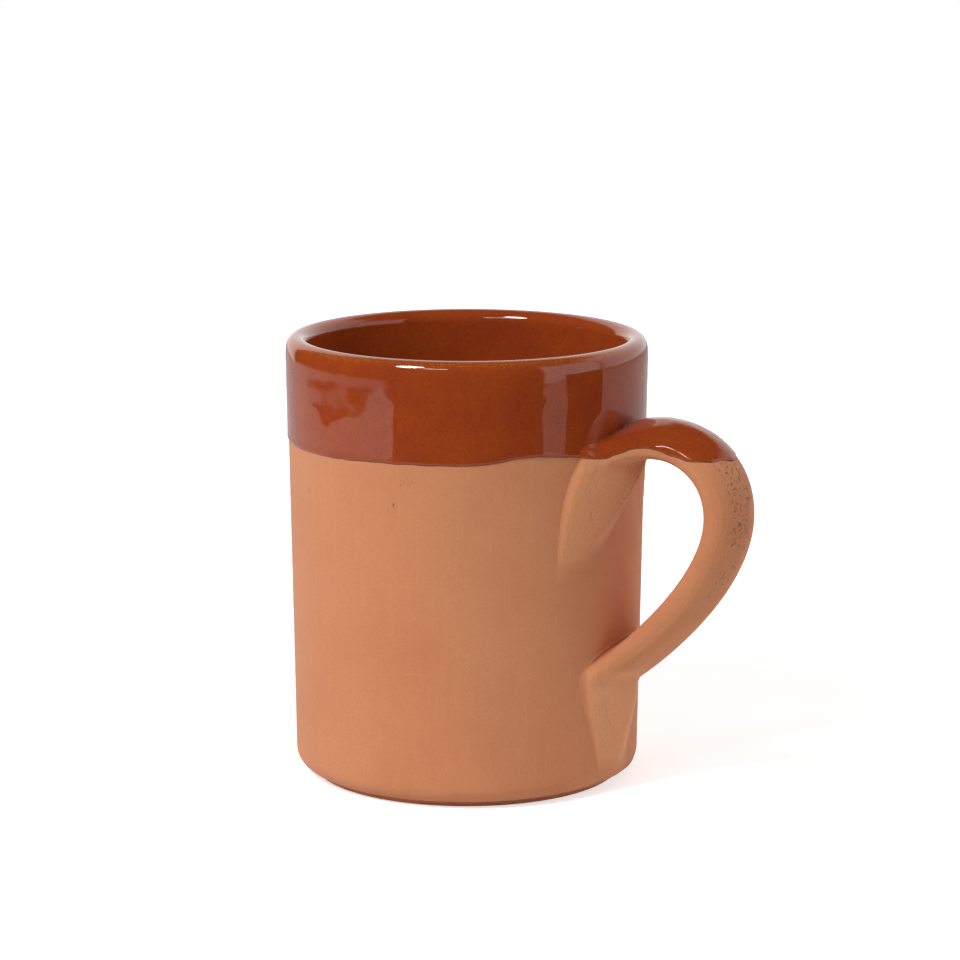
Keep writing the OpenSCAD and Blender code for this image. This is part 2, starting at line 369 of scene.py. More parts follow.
def strap_point(along, share):
    """Place on the strap's skin, by the length along it and the share round it."""
    place, way, full = strap_centre(along)
    across, rise = section_point(even_turn(share))
    gap = place[:, 0] - wall_r(place[:, 1]) + FLARE_SINK
    near = np.clip(1 - gap / FLARE_LEN, 0, 1)
    root_w = ROOT_W - LOWER_NARROWER * (along > STRAP_LENGTH / 2)
    half = (STRAP_W + (root_w - STRAP_W) * near * near) / 2 - SKIN
    rise = rise * full - SKIN * np.sign(rise)
    skin = np.column_stack([
        place[:, 0] - way[:, 1] * rise, half * across, place[:, 1] + way[:, 0] * rise])
    deepest = wall_r(skin[:, 2]) - ROOT_DEPTH
    return pressed_in(skin, -np.clip(deepest - np.hypot(skin[:, 0], skin[:, 1]), 0, None))


let_go()
bpy.ops.mesh.primitive_grid_add(x_subdivisions=STRAP_ROWS, y_subdivisions=STRAP_ROUND, size=1)
strap = done("strap")
flat = points_of(strap) * MM + 0.5
place_points(strap, strap_point(flat[:, 0] * (STRAP_LENGTH + 2 * TUCK) - TUCK, flat[:, 1]))
close_up(strap)
edit(strap)
bpy.ops.mesh.fill_holes(sides=0)
bpy.ops.mesh.normals_make_consistent(inside=False)
strap = done("strap")
tell(strap)

# %% [markdown]
# ## Smeared clay at the roots
# After the strap is pressed on, soft clay is smeared from it down the wall: two wings
# under the upper root, brushed down and outwards, and one tail under the lower root.
# Each is a grid laid on the wall, raised where the thumb left clay, sunk elsewhere.

# %% Lay the patches on the wall
PATCH_ROWS, PATCH_BACK = 150, 0.93


def laid_patch(name, angles, heights, thickness):
    """A grid of clay on the wall, with a thickness by angle (degrees) and height."""
    let_go()
    bpy.ops.mesh.primitive_grid_add(x_subdivisions=PATCH_ROWS, y_subdivisions=PATCH_ROWS, size=1)
    patch = done(name)
    flat = points_of(patch) * MM + 0.5
    angle = angles[0] + (angles[1] - angles[0]) * flat[:, 0]
    height = heights[0] + (heights[1] - heights[0]) * flat[:, 1]
    radius = wall_r(height) + thickness(angle, height)
    turn = np.radians(angle)
    laid = np.column_stack([radius * np.cos(turn), radius * np.sin(turn), height])
    place_points(patch, pressed_in(laid, press_wall(laid)))
    edit(patch)
    bpy.ops.mesh.extrude_region_move()
    bpy.ops.transform.resize(value=(PATCH_BACK, PATCH_BACK, 1), center_override=(0, 0, 0))
    bpy.ops.mesh.select_all(action="SELECT")
    bpy.ops.mesh.normals_make_consistent(inside=False)
    patch = done(name)
    tell(patch)
    return patch


# %% [markdown]
# The upper smear starts with a small step on its left edge, rises to a crest that leans
# towards the handle and falls off beyond it. The far wing is a low hump. Every line is
# given by a few heights (millimetres) and the angle or thickness that belongs to each.

# %% The upper smear
UPPER_LEFT = [48, 53.6, 58, 63, 67.4, 71.6, 76], [-34, -33.3, -32.7, -31.9, -30.8, -28.6, -25]
UPPER_CREST = [48, 53, 57, 61, 65, 69, 72, 76], [-33, -28, -23, -18, -13, -9, -6, -3]
UPPER_LEVEL = [48, 52, 56, 60, 65, 70, 74, 77, 79], [0, 0.4, 1.5, 2.7, 4.1, 5.2, 5.6, 4.0, 0]
UPPER_FALL = [50, 66, 76], [10, 14, 12]
UPPER_STEP, UPPER_STEP_WIDTH = 0.26, 0.03
FAR_MIDDLE, FAR_WIDTH = ([54, 76], [18, 12]), ([54, 76], [4, 10])
FAR_LEVEL = [56, 64, 75, 78], [0, 0.45, 1.1, 0]


def upper_marks(angle, height):
    """Place across the smear: 0 on its left edge, 1 on its crest; and degrees past the crest."""
    left = np.interp(height, *UPPER_LEFT)
    crest = np.interp(height, *UPPER_CREST)
    return (angle - left) / (crest - left), angle - crest


def stepped(place, share, width):
    """Rise across a smear: a soft step of a share of it at the edge, then straight up."""
    step = 1 - np.exp(-np.clip(place, 0, 3) / width)
    return share * step + (1 - share) * np.clip(place, 0, 1)


def upper_thickness(angle, height):
    place, beyond = upper_marks(angle, height)
    fall = 1 - smooth(0, 1, beyond / np.interp(height, *UPPER_FALL))
    near = np.interp(height, *UPPER_LEVEL) * stepped(place, UPPER_STEP, UPPER_STEP_WIDTH) * fall
    far_off = (angle - np.interp(height, *FAR_MIDDLE)) / np.interp(height, *FAR_WIDTH)
    far = np.interp(height, *FAR_LEVEL) * np.clip(1 - far_off ** 2, 0, 1)
    return np.maximum(near, far)


# %% [markdown]
# The lower tail is one ridge with a sharp left edge. It narrows down to the foot.

# %% The lower tail
LOWER_LEFT = [3, 5, 10.8, 18, 22.7, 26, 28], [-14, -15, -17, -20.5, -22.5, -23.2, -23]
LOWER_CREST = [3, 12, 20, 28], [-7, -7, -6, -5]
LOWER_RIGHT = [3, 12, 20, 28], [5, 7, 9, 10]
LOWER_LEVEL = [2, 6, 12, 18, 23, 27, 30], [0, 1.3, 3.1, 4.4, 5.0, 4.8, 0]
LOWER_STEP, LOWER_STEP_WIDTH = 0.16, 0.07


def lower_marks(angle, height):
    """Places across the tail: 0 to 1 up to its crest, and 0 to 1 from there to its right edge."""
    left = np.interp(height, *LOWER_LEFT)
    crest = np.interp(height, *LOWER_CREST)
    right = np.interp(height, *LOWER_RIGHT)
    return (angle - left) / (crest - left), (angle - crest) / (right - crest)


def lower_thickness(angle, height):
    place, beyond = lower_marks(angle, height)
    rise = stepped(place, LOWER_STEP, LOWER_STEP_WIDTH)
    return np.interp(height, *LOWER_LEVEL) * rise * (1 - smooth(0, 1, beyond))


# %% [markdown]
# Outside its marks a patch lies a hair under the wall, and it dives towards its border,
# so the wall itself hides where the grid ends.

# %% Lay both patches
PATCH_SINK, WALL_SINK, GLAZE_SINK = 0.5, 0.05, 0.22
BORDER_TURN, BORDER_Z = 3, 2
UPPER_SPAN = ((-46, 40), (44, 90))
LOWER_SPAN = ((-40, 34), (2.6, 40))


def faded(thickness, angles, heights):
    """The thickness, sunk under the wall towards the patch's border."""
    def height_over_wall(angle, height):
        border = np.minimum.reduce([
            (angle - angles[0]) / BORDER_TURN, (angles[1] - angle) / BORDER_TURN,
            (height - heights[0]) / BORDER_Z, (heights[1] - height) / BORDER_Z])
        sink = WALL_SINK + GLAZE_SINK * smooth(77, 80, height)
        return thickness(angle, height) - sink - PATCH_SINK * (1 - smooth(0, 1, border))
    return height_over_wall


upper_patch = laid_patch("upper_patch", *UPPER_SPAN, faded(upper_thickness, *UPPER_SPAN))
lower_patch = laid_patch("lower_patch", *LOWER_SPAN, faded(lower_thickness, *LOWER_SPAN))

# %% [markdown]
# ## Joining strap and smears
# Clay that is smeared together has no seam. A boolean would leave a sharp line, so the
# three parts are joined, remeshed in small voxels into one skin, and the skin is
# relaxed only near the lines where they met, which leaves soft fillets there.

# %% Join and remesh
VOXEL = 0.28


def tree_of(piece):
    mesh = piece.data
    return BVHTree.FromPolygons([v.co for v in mesh.vertices], [p.vertices for p in mesh.polygons])


def distance_to(tree, points):
    return np.array([tree.find_nearest(Vector(p * MM))[3] for p in points]) / MM


def angle_of(points):
    return np.degrees(np.arctan2(points[:, 1], points[:, 0]))


def off_wall(points):
    """Distance of each point from the wall's cone, outwards."""
    return np.hypot(points[:, 0], points[:, 1]) - wall_r(points[:, 2])


strap_tree = tree_of(strap)
patch_trees = [tree_of(upper_patch), tree_of(lower_patch)]
let_go()
for part in (upper_patch, lower_patch, strap):
    part.select_set(True)
bpy.context.view_layer.objects.active = strap
bpy.ops.object.join()
root_clay = bpy.context.object
modify(root_clay, "REMESH", mode="VOXEL", voxel_size=VOXEL * MM)
tell(root_clay)

# %% [markdown]
# The fillet is as wide as the reach of the relaxing: broad under the upper root, where
# a thumb ran, and tight above it, in the lower crease and along the two crisp edges.

# %% Relax where they met
REACH_LEAST, REACH_MORE = 0.45, 3.2
CREASE_SHARE, CRISP_SHARE = 0.92, 0.75
MEETING_TURNS, SKIN_TURNS, RELAX = 120, 6, 0.5
skin_points = points_of(root_clay)
skin_turn, skin_z = angle_of(skin_points), skin_points[:, 2]
to_strap = distance_to(strap_tree, skin_points)
to_patch = np.minimum(*[distance_to(tree, skin_points) for tree in patch_trees])
below = 1 - smooth(UPPER_ROOT_Z + 1, UPPER_ROOT_Z + 6, skin_z)
lower_crease = smooth(24, 26.5, skin_z) * (1 - smooth(38, 45, skin_z))
crisp = np.maximum(smooth(-14, -4, skin_turn) * smooth(64, 70, skin_z),
                   (1 - smooth(-27, -20, skin_turn)) * smooth(45, 55, skin_z))
reach = REACH_LEAST + (REACH_MORE * below * (1 - CREASE_SHARE * lower_crease)
                       * (1 - CRISP_SHARE * crisp))
meeting = 1 - smooth(0.25, 1, np.maximum(to_strap, to_patch) / reach)
group = root_clay.vertex_groups.new(name="meeting")
for index in np.flatnonzero(meeting > 0.01):
    group.add([int(index)], float(meeting[index]), "REPLACE")
modify(root_clay, "SMOOTH", factor=RELAX, iterations=MEETING_TURNS, vertex_group="meeting")
modify(root_clay, "SMOOTH", factor=RELAX, iterations=SKIN_TURNS)
tell(root_clay)

# %% [markdown]
# Two marks of the work are left in the skin: strokes of the fingers that smeared the
# clay, and a thin bead of slip that was squeezed out along the lower root's crease.

# %% Strokes and squeezed slip
STROKE_PITCHES, STROKE_DEPTH = (0.075, 0.11, 0.17), 0.006
SLIP_BEAD, SLIP_OFF, SLIP_WIDTH = 0.3, 0.95, 0.34
skin_points, skin_normals = points_of(root_clay), normals_of(root_clay)
skin_turn, skin_z = angle_of(skin_points), skin_points[:, 2]
place, beyond = upper_marks(skin_turn, skin_z)
chance = np.random.default_rng(5)
strokes = np.zeros(len(skin_points))
for pitch in STROKE_PITCHES:
    drift = skin_z * chance.uniform(0.1, 0.3)
    strokes += np.sin(place * math.tau / pitch + drift + chance.uniform(0, math.tau))
on_smear = smooth(-0.1, 0.15, place) * (1 - smooth(3, 7, beyond))
on_smear *= smooth(50, 56, skin_z) * (1 - smooth(73, 75, skin_z))
on_smear *= 1 - smooth(4, 6, off_wall(skin_points))
to_strap = distance_to(strap_tree, skin_points)
bead_run = smooth(-23, -18, skin_turn) * (1 - smooth(34, 37, skin_z)) * smooth(26, 27.5, skin_z)
bead = SLIP_BEAD * np.exp(-((to_strap - SLIP_OFF) / SLIP_WIDTH) ** 2) * bead_run
carved = STROKE_DEPTH * strokes * on_smear + bead
place_points(root_clay, skin_points + skin_normals * carved[:, None])
print("strokes up to", round(float(np.abs(carved).max()), 2), "mm")

# %% [markdown]
# ## Cutting the skin into its pieces
# The joined skin is parted along a cone just off the wall: what lies beyond it is the
# handle, what lies on the wall is the clay of each joint. The cut ends are closed, and
# because the points on both sides of a cut stay where they are, no seam shows.

# %% Part the handle from the joints
COLLAR = 2.2


def cut_out(source, name, keep, closed=True):
    """A copy of the part of a mesh whose faces have keep true, with its cuts closed."""
    take(source)
    bpy.ops.object.duplicate()
    piece = bpy.context.object
    piece.name = piece.data.name = name
    piece.data.polygons.foreach_set("select", ~keep)
    piece.data.vertices.foreach_set("select", np.zeros(len(piece.data.vertices), bool))
    piece.data.edges.foreach_set("select", np.zeros(len(piece.data.edges), bool))
    bpy.ops.object.mode_set(mode="EDIT")
    bpy.ops.mesh.select_mode(type="FACE")
    bpy.ops.mesh.delete(type="FACE")
    bpy.ops.mesh.select_mode(type="VERT")
    bpy.ops.mesh.select_all(action="SELECT")
    if closed:
        bpy.ops.mesh.fill_holes(sides=0)
    return done(name)


def face_points(piece):
    flat = np.empty(len(piece.data.polygons) * 3)
    piece.data.polygons.foreach_get("center", flat)
    return flat.reshape(-1, 3) / MM


skin_faces = face_points(root_clay)
free = off_wall(skin_faces) > COLLAR
upper_half = skin_faces[:, 2] > (UPPER_ROOT_Z + LOWER_ROOT_Z) / 2
handle = cut_out(root_clay, "handle_strap", free)
upper_joint = cut_out(root_clay, "upper_joint_clay", ~free & upper_half)
lower_joint = cut_out(root_clay, "lower_joint_clay", ~free & ~upper_half)
for piece in (handle, upper_joint, lower_joint):
    round_off(piece)
    tell(piece)

# %% [markdown]
# ## The dipped glaze
# The rim was dipped, so the glaze ends in one wavy line round the cup and over the
# handle. A glaze coat could be cut off there with a boolean, but fired glaze ends in a
# soft bead. So each coat is a skin whose thickness rises from under the clay's surface
# at the line, swells to a bead and then runs level.

# %% Where the glaze ends
DIP_Z = CUP_H - 22.5
COAT_ROOT = 0.14
CUP_SWELL, HANDLE_SWELL = 2.4, 2.4
EDGE_BEAD = 0.03
RIPPLE_BROAD, RIPPLE_SMALL = 0.03, 0.008


def dip_edge(points):
    """Height of the glaze's edge, by place: round the cup, or along the handle."""
    angle = angle_of(points)
    on_cup = (CUP_SWELL * np.exp(-((angle + 40) / 17) ** 2)
              + 0.35 * np.sin(np.radians(3 * angle)) + 0.175 * np.cos(np.radians(5 * angle)))
    on_handle = HANDLE_SWELL * np.exp(-((points[:, 0] - 47) / 6) ** 2)
    handle_share = smooth(40.5, 43.5, np.hypot(points[:, 0], points[:, 1]))
    edge = DIP_Z + on_cup * (1 - handle_share) + on_handle * handle_share
    return edge + 0.12 * wobble(points, 6, 11) + 0.2 * handle_share * wobble(points, 4.5, 12)


def coat(points):
    """Thickness of the glaze over the clay, by place: less than nothing under the edge."""
    over = points[:, 2] - dip_edge(points)
    bead = EDGE_BEAD * np.exp(-((over - 0.6) / 0.5) ** 2)
    return -COAT_ROOT + (GLAZE_T + COAT_ROOT) * smooth(-0.1, 0.6, over) + bead


def ripple(points):
    """Soft unevenness of the molten surface, from nothing to its full depth inwards."""
    broad = RIPPLE_BROAD * (1 + np.clip(wobble(points, 17, 21), -1, 1))
    small = RIPPLE_SMALL * (1 + np.clip(wobble(points, 5, 22), -1, 1))
    return broad + small


# %% [markdown]
# The band round the cup is spun like the cup, with close rows where its edge will be,
# and then pressed back under the clay below the line.

# %% Glaze on the outside and the lip
LIP_TOP = (LIP_CENTRE_R, WALL_HIGH_Z)
ROLL_START, ROLL_POWER = 87.5, 7
BAND_LOW, BAND_ROOT, COAT_BACK = 71, 1.2, 0.6
EDGE_STEP, LEVEL_STEP = 0.25, 0.8


def glazed(*heights):
    """Points on the glaze's outer face over the straight wall."""
    return [(wall_r(z) + GLAZE_T, z) for z in heights]


band_outline = [(wall_r(BAND_LOW) - BAND_ROOT, BAND_LOW)]
band_outline += walk(glazed(BAND_LOW, 80), EDGE_STEP)
band_outline += walk(glazed(81, 91), LEVEL_STEP)
for turn in np.radians(np.linspace(3, 90, 40)):
    height = ROLL_START + (CUP_H + GLAZE_T - ROLL_START) * math.sin(turn) ** (2 / ROLL_POWER)
    width = wall_r(height) + GLAZE_T - LIP_CENTRE_R
    band_outline += [(LIP_CENTRE_R + width * math.cos(turn), height)]
band_outline += [(LIP_CENTRE_R, CUP_H - COAT_BACK)]
band_outline += arc(LIP_TOP, LIP_R - COAT_BACK, 80, 0, 6)
band_outline += [(wall_r(BAND_LOW) - BAND_ROOT, BAND_LOW)]
band = spun("band_coat", band_outline, COAT_TURNS)
band_points = points_of(band)
outer = smooth(-0.5, 0, off_wall(band_points)) + (band_points[:, 2] > WALL_HIGH_Z)
outer = np.clip(outer, 0, 1) * (np.hypot(band_points[:, 0], band_points[:, 1]) > LIP_CENTRE_R - 0.01)
hollow = GLAZE_T - coat(band_points) + ripple(band_points)
hollow += dents(band_points) * (1 - smooth(90, 97, band_points[:, 2]))
place_points(band, pressed_in(band_points, hollow * outer))
round_off(band, 50)
tell(band)

# %% [markdown]
# The lining was poured in and tipped out. It meets the band at the lip's crest.

# %% Glaze on the inside
lip_inside = LIP_CENTRE_R - LIP_R
lining_outline = arc(LIP_TOP, LIP_R + GLAZE_T, 90, 180, 31)
lining_outline += walk([(lip_inside - GLAZE_T, WALL_HIGH_Z - 1), (inner_low_r - GLAZE_T, 16.5)], 1.5)
lining_outline += arc(inner_corner, INNER_CORNER_R - GLAZE_T, 0, -90, 14)
lining_outline += walk([(inner_corner[0] - 2, FLOOR_T + GLAZE_T), (0, FLOOR_T + GLAZE_T)], 2)
lining_outline += walk([(0, FLOOR_T - COAT_BACK), (inner_corner[0], FLOOR_T - COAT_BACK)], 8)
lining_outline += arc(inner_corner, INNER_CORNER_R + COAT_BACK, -80, 0, 6)
lining_outline += walk([(inner_low_r + COAT_BACK, 17), (lip_inside + COAT_BACK, WALL_HIGH_Z)], 12)
lining_outline += arc(LIP_TOP, LIP_R - COAT_BACK, 160, 100, 4)
lining_outline += [(LIP_CENTRE_R, CUP_H - COAT_BACK), (LIP_CENTRE_R, CUP_H + GLAZE_T)]
lining = spun("lining_coat", lining_outline, COAT_TURNS)
lining_points = points_of(lining)
place_points(lining, pressed_in(lining_points, ripple(lining_points)))
round_off(lining, 50)
tell(lining)

# %% [markdown]
# On the handle the coat is the joined skin itself, moved out along its normals.

# %% Glaze on the handle
HANDLE_COAT_T, COAT_WAVE = 0.5, 0.02
dipped = skin_faces[:, 2] > dip_edge(skin_faces) - BAND_ROOT
shown = off_wall(skin_faces) > -1
skin_points, skin_normals = points_of(root_clay), normals_of(root_clay)
waves = wobble(skin_points, 3.4, 31, (0.7, 1, 0.7))
raised = coat(skin_points) - ripple(skin_points) + COAT_WAVE * waves
take(root_clay)
bpy.ops.object.duplicate()
thick_skin = bpy.context.object
place_points(thick_skin, skin_points + skin_normals * raised[:, None])
handle_coat = cut_out(thick_skin, "handle_coat", dipped & shown, closed=False)
modify(handle_coat, "SOLIDIFY", thickness=HANDLE_COAT_T * MM, offset=-1)
round_off(handle_coat, 50)
tell(handle_coat)
for scrap in (root_clay, thick_skin):
    bpy.data.objects.remove(scrap)

# %% [markdown]
# ## Shader maths
# A material is a small graph of nodes. Writing it as sums and products keeps it
# readable: this class wraps a socket, and each operator adds one Math node.

# %% Sockets that can be added and multiplied
def paint(code):
    """A colour written as #rrggbb, as the linear values that nodes use."""
    parts = [int(code[i:i + 2], 16) / 255 for i in (1, 3, 5)]
    return (*[c / 12.92 if c <= 0.04045 else ((c + 0.055) / 1.055) ** 2.4 for c in parts], 1.0)


class Value:
    """A number that varies over a surface."""

    def __init__(self, finish, socket):
        self.finish, self.socket = finish, socket

    def math(self, operation, first, second=None):
        inputs = {0: first} if second is None else {0: first, 1: second}
        made = self.finish.node("ShaderNodeMath", {"operation": operation}, inputs)
        return Value(self.finish, made.outputs[0])

    def __add__(self, other):
        return self.math("ADD", self, other)

    def __sub__(self, other):
        return self.math("SUBTRACT", self, other)

    def __rsub__(self, other):
        return self.math("SUBTRACT", other, self)

    def __mul__(self, other):
        return self.math("MULTIPLY", self, other)

    __radd__, __rmul__ = __add__, __mul__

    def step(self, low, high):
        """0 below low and 1 above high, with a soft step between."""
        inputs = {"Value": self, "From Min": low, "From Max": high}
        made = self.finish.node("ShaderNodeMapRange", {"interpolation_type": "SMOOTHSTEP"}, inputs)
        return Value(self.finish, made.outputs[0])


class Finish:
    """A material that is built node by node on its piece's Object coordinates."""

    def __init__(self, name, collection=bpy.data.materials):
        self.material = collection.new(name)
        self.material.use_nodes = True
        self.tree = self.material.node_tree
        self.tree.nodes.clear()
        self.place = self.node("ShaderNodeTexCoord").outputs["Object"]

    def node(self, kind, settings=None, inputs=None):
        made = self.tree.nodes.new(kind)
        for key, value in (settings or {}).items():
            setattr(made, key, value)
        for key, value in (inputs or {}).items():
            value = value.socket if isinstance(value, Value) else value
            if isinstance(value, bpy.types.NodeSocket):
                self.tree.links.new(value, made.inputs[key])
            else:
                made.inputs[key].default_value = value
        return made

    def noise(self, scale, detail=2.0, roughness=0.5, place=None):
        inputs = {"Scale": scale, "Detail": detail, "Roughness": roughness}
        inputs["Vector"] = place or self.place
        return Value(self, self.node("ShaderNodeTexNoise", None, inputs).outputs["Fac"])

    def axis(self, which, place=None):
        split = self.node("ShaderNodeSeparateXYZ", None, {0: place or self.place})
        return Value(self, split.outputs[which])

    def marked(self, name, output="Fac"):
        """What the mesh says of itself, point by point."""
        made = self.node("ShaderNodeAttribute", {"attribute_name": name})
        return Value(self, made.outputs[output])

    def vector(self, operation, inputs, output="Value"):
        made = self.node("ShaderNodeVectorMath", {"operation": operation}, inputs)
        return Value(self, made.outputs[output])

    def ray(self, kind):
        """1 for rays of one kind, 0 for all others."""
        return Value(self, self.node("ShaderNodeLightPath").outputs[f"Is {kind} Ray"])

    def mix(self, mask, below, above):
        inputs = {"Factor": mask, 6: below, 7: above}
        return self.node("ShaderNodeMix", {"data_type": "RGBA"}, inputs).outputs[2]

    def shade(self, colour, factor):
        """A colour made darker or lighter by a factor that varies."""
        inputs = {"Factor": 1.0, 6: colour, 7: self.grey(factor)}
        settings = {"data_type": "RGBA", "blend_type": "MULTIPLY"}
        return self.node("ShaderNodeMix", settings, inputs).outputs[2]

    def grey(self, value):
        return self.node("ShaderNodeCombineColor", None, {0: value, 1: value, 2: value}).outputs[0]

    def bump(self, height, distance, below=None):
        inputs = {"Height": height, "Distance": distance, "Strength": 1.0}
        if below is not None:
            inputs["Normal"] = below
        return self.node("ShaderNodeBump", None, inputs).outputs[0]

    def close(self, **inputs):
        named = {key.replace("_", " "): value for key, value in inputs.items()}
        shader = self.node("ShaderNodeBsdfPrincipled", None, named)
        self.node("ShaderNodeOutputMaterial", None, {0: shader.outputs[0]})
        return self.material


# %% [markdown]
# ## Fired clay
# Bare red clay is matt: an orange body, slightly redder and paler in patches, with a
# fine grain, faint streaks where a rib or a brush ran, and small pits. A single noise
# would look like paint, so each of these has its own scale.

# %% The clay finish
# The slip colour is partly painted light: it makes the smeared faces, which turn to the key light,
# paler.
CLAY, CLAY_RED, CLAY_PALE = "#d38b60", "#cb8058", "#da9c72"
CLAY_DARK, CLAY_SLIP_AND_LIT = "#96583a", "#e39e70"
GRAIN, PATCH, STREAK, PIT, PIT_GROUPS = 2000, 45, 1100, 1700, 130
STREAK_DRAWN = (1, 0.05, 1)
PIT_MIDDLE, PIT_FADE, PITS_FROM = 0.001, 0.002, (0.033, 0.058)
GRAIN_DEEP, STREAK_DEEP, PIT_DEEP = 0.0001, 0.001, 0.00018


def clay_finish(name, streak_share, streak_depth, pit_share, clean_from=1.0):
    """Streaks follow the strokes; pit_share of it is pitted, within clean_from of the middle."""
    f = Finish(name)
    marks, slip_and_lit_face = f.marked("stroke", "Vector"), f.marked("smeared")
    drawn_out = f.node("ShaderNodeMapping", None, {0: marks, 3: STREAK_DRAWN}).outputs[0]
    streaks = f.noise(STREAK, 4, 0.6, drawn_out)
    patches = f.noise(PATCH, 3, 0.55)
    grain = f.noise(GRAIN, 3, 0.6)
    pitted = f.noise(PIT_GROUPS, 2).step(0.66 - pit_share, 0.78 - pit_share)
    pitted = pitted * f.axis("Z").step(*PITS_FROM)
    across = f.axis("X", marks) - PIT_MIDDLE
    across = across.math("ABSOLUTE", across)
    pitted = pitted * (1 - across.step(clean_from, clean_from + PIT_FADE)) * (1 - slip_and_lit_face)
    pits = f.noise(PIT, 3, 0.6).step(0.57, 0.66) * pitted
    colour = f.mix(patches.step(0.3, 0.75) * 0.6, paint(CLAY), paint(CLAY_RED))
    colour = f.mix(streaks.step(0.5, 0.8) * streak_share, colour, paint(CLAY_PALE))
    # Partly painted light: the smeared faces turned to the key light are made paler, as well as for
    # their slip.
    colour = f.mix(slip_and_lit_face * 0.8, colour, paint(CLAY_SLIP_AND_LIT))
    colour = f.mix(pits * 0.7, colour, paint(CLAY_DARK))
    colour = f.shade(colour, 0.88 + grain * 0.24)
    normal = f.bump(grain, GRAIN_DEEP)
    normal = f.bump(streaks * streak_depth, STREAK_DEEP, normal)
    normal = f.bump(1 - pits, PIT_DEEP, normal)
    return f.close(Base_Color=colour, Roughness=0.86 + patches * 0.1, Normal=normal,
                   Specular_IOR_Level=0.35, Sheen_Weight=0.12, Sheen_Roughness=0.5)


thrown_clay = clay_finish("thrown_clay", 0.25, 0.03, 0.0)
pulled_clay = clay_finish("pulled_clay", 0.45, 0.12, 0.28, 0.0052)
brushed_clay = clay_finish("brushed_clay", 0.4, 0.1, -0.3)
print("clay finishes:", thrown_clay.name, pulled_clay.name, brushed_clay.name)

# %% [markdown]
# ## Glaze
# A clear brown glaze over red clay: the colour lies under a clear glossy coat. It is
# finely speckled, and golden where it ran thin over the lip's crest.

# %% The glaze finish
GLAZE, GLAZE_RED, GLAZE_THIN = "#a0441a", "#983d1c", "#b8762c"
GLAZE_SPECK, GLAZE_EDGE = "#742a08", "#5c2008"
CREST_FROM, CREST_WAVE, CREST_OUT = (0.0964, 0.0975), 0.0016, (0.0371, 0.0378)
EDGE_ROLL = (0.0002, 0.0006)
SWELL_DEEP, ORANGE_PEEL, CREST_DEEP = 0.00005, 0.000012, 0.00003
f = Finish("dipped_glaze")
speckle = f.noise(1500, 4, 0.65)
cloud = f.noise(90, 3, 0.5)
radius = f.vector("LENGTH", {0: f.vector("MULTIPLY", {0: f.place, 1: (1, 1, 0)}, "Vector")})
wavy_height = f.axis("Z") + f.noise(600, 3) * CREST_WAVE - CREST_WAVE / 2
crest = wavy_height.step(*CREST_FROM) * radius.step(*CREST_OUT)
thin = crest * f.noise(1900, 4, 0.65).step(0.4, 0.62)
rolled = 1 - f.marked("over_edge").step(*EDGE_ROLL)
colour = f.mix(cloud.step(0.35, 0.7), paint(GLAZE), paint(GLAZE_RED))
colour = f.mix(speckle.step(0.52, 0.75) * 0.5, colour, paint(GLAZE_SPECK))
colour = f.mix(rolled * 0.45, colour, paint(GLAZE_EDGE))
colour = f.shade(colour, 0.7 + f.noise(2200, 3, 0.7) * 0.6)
colour = f.mix(thin * 0.4, colour, paint(GLAZE_THIN))
normal = f.bump(f.noise(260, 2), SWELL_DEEP)
normal = f.bump(f.noise(900, 2), ORANGE_PEEL, normal)
normal = f.bump(f.noise(1100, 2) * crest, CREST_DEEP, normal)
glaze_finish = f.close(Base_Color=colour, Roughness=0.42 + speckle * 0.1, Normal=normal,
                       Specular_IOR_Level=0.0, Coat_Weight=1.0, Coat_Roughness=0.035, Coat_IOR=1.5)
print("glaze finish:", glaze_finish.name)

# %% [markdown]
# The streaks of a finish run the way the hand ran. Each clay piece carries that as an
# attribute: how far a point lies across the strokes, along them and out of them. A
# second one says where wet clay was smeared smooth. Those faces are coloured paler, partly
# for the slip and partly as painted light on the faces turned to the key light. A third,
# on the coats, says how far above the glaze's edge a point lies.

# %% Which way the hand ran
def smeared(points):
    """1 where wet clay was smeared smooth, 0 on the rest, by place; it also sets where light is
    painted on the faces turned to the key light.
    """
    angle, height = angle_of(points), points[:, 2]
    place, beyond = upper_marks(angle, height)
    upper = smooth(0, 0.12, place) * (1 - smooth(0, 7, beyond))
    upper = upper * smooth(48, 56, height) * (1 - smooth(75, 80, height))
    place, beyond = lower_marks(angle, height)
    lower = smooth(0, 0.12, place) * (1 - smooth(0, 0.7, beyond))
    lower = lower * smooth(3, 10, height) * (1 - smooth(26, 31, height))
    return (0.6 * upper + lower) * (1 - smooth(4, 9, off_wall(points)))


def mark_strokes(piece, across, along, out=0):
    """Where each point lies across, along and out of the strokes, and how smooth it is smeared, which
    also places painted light on those faces.
    """
    marks = piece.data.attributes.new("stroke", "FLOAT_VECTOR", "POINT")
    placed = np.column_stack([across, along, along * 0 + out]) * MM
    marks.data.foreach_set("vector", placed.ravel())
    marks = piece.data.attributes.new("smeared", "FLOAT", "POINT")
    marks.data.foreach_set("value", smeared(points_of(piece)))


def mark_edge(piece):
    """How far each point of a coat lies above the glaze's edge."""
    marks = piece.data.attributes.new("over_edge", "FLOAT", "POINT")
    points = points_of(piece)
    marks.data.foreach_set("value", (points[:, 2] - dip_edge(points)) * MM)


def wall_strokes(points):
    return np.radians(angle_of(points)) * RIM_R, points[:, 2]


